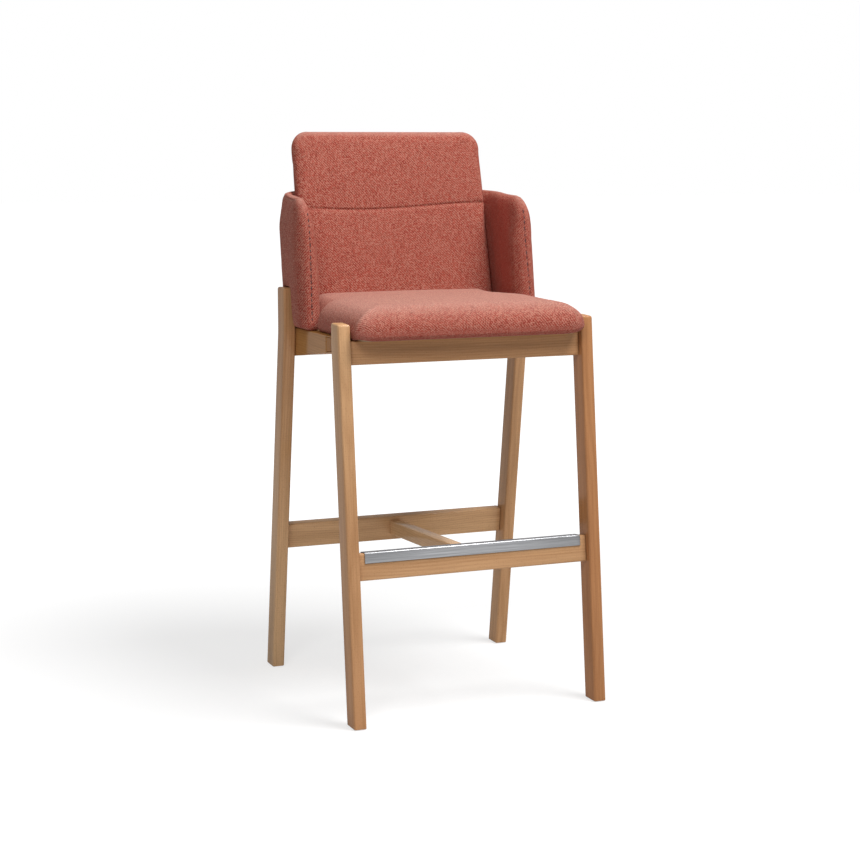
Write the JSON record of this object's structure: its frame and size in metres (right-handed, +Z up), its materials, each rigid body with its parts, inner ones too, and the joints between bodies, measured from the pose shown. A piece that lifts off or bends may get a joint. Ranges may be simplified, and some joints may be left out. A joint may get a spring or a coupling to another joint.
{
  "type": "bar stool",
  "caption": "Upholstered bar stool on a splayed beech frame, with a tall back pad, wrap-round arms and a steel-capped footrest.",
  "frame": {"origin": "on the floor, under the centre of the stool's bounding box", "axes": "+Z up, -Y the way the sitter faces (front), +X to the right seen from the front"},
  "size_m": [0.52, 0.5213, 1.0757],
  "materials": {
    "beech": "clear satin lacquer",
    "raw_beech": "planed, unfinished",
    "plywood": "moulded and flat beech plywood",
    "fabric": "coral twill weave with beige threads",
    "footrest_steel": "brushed along its length",
    "screw_steel": "zinc plated",
    "glide_nylon": "matt"
  },
  "bodies": {
    "root": {"front_leg_left": "beech", "front_leg_right": "beech", "rear_leg_left": "beech", "rear_leg_right": "beech", "glide_front_left": "glide_nylon", "glide_front_right": "glide_nylon", "glide_rear_left": "glide_nylon", "glide_rear_right": "glide_nylon", "front_stretcher": "beech", "rear_stretcher": "beech", "middle_stretcher": "beech", "middle_stretcher_dowel_front": "raw_beech", "middle_stretcher_dowel_rear": "raw_beech", "footrest_profile": "footrest_steel", "profile_screw_left": "screw_steel", "profile_screw_middle": "screw_steel", "profile_screw_right": "screw_steel", "front_apron": "beech", "rear_apron": "beech", "side_rail_left": "beech", "side_rail_right": "beech", "rail_key_left": "beech", "rail_key_right": "beech", "corner_block_front_left": "raw_beech", "corner_block_front_right": "raw_beech", "corner_block_rear_left": "raw_beech", "corner_block_rear_right": "raw_beech", "seat_screw_front_left": "screw_steel", "seat_screw_front_right": "screw_steel", "seat_screw_rear_left": "screw_steel", "seat_screw_rear_right": "screw_steel", "seat_board": "plywood", "seat_pad": "fabric", "shell_core": "plywood", "arm_shell_pad": "fabric", "shell_screw_low_left": "screw_steel", "shell_screw_low_right": "screw_steel", "shell_screw_high_left": "screw_steel", "shell_screw_high_right": "screw_steel", "back_board": "plywood", "back_pad": "fabric", "back_screw_left": "screw_steel", "back_screw_right": "screw_steel", "back_foot_screw_left": "screw_steel", "back_foot_screw_right": "screw_steel"}
  },
  "joints": []
}
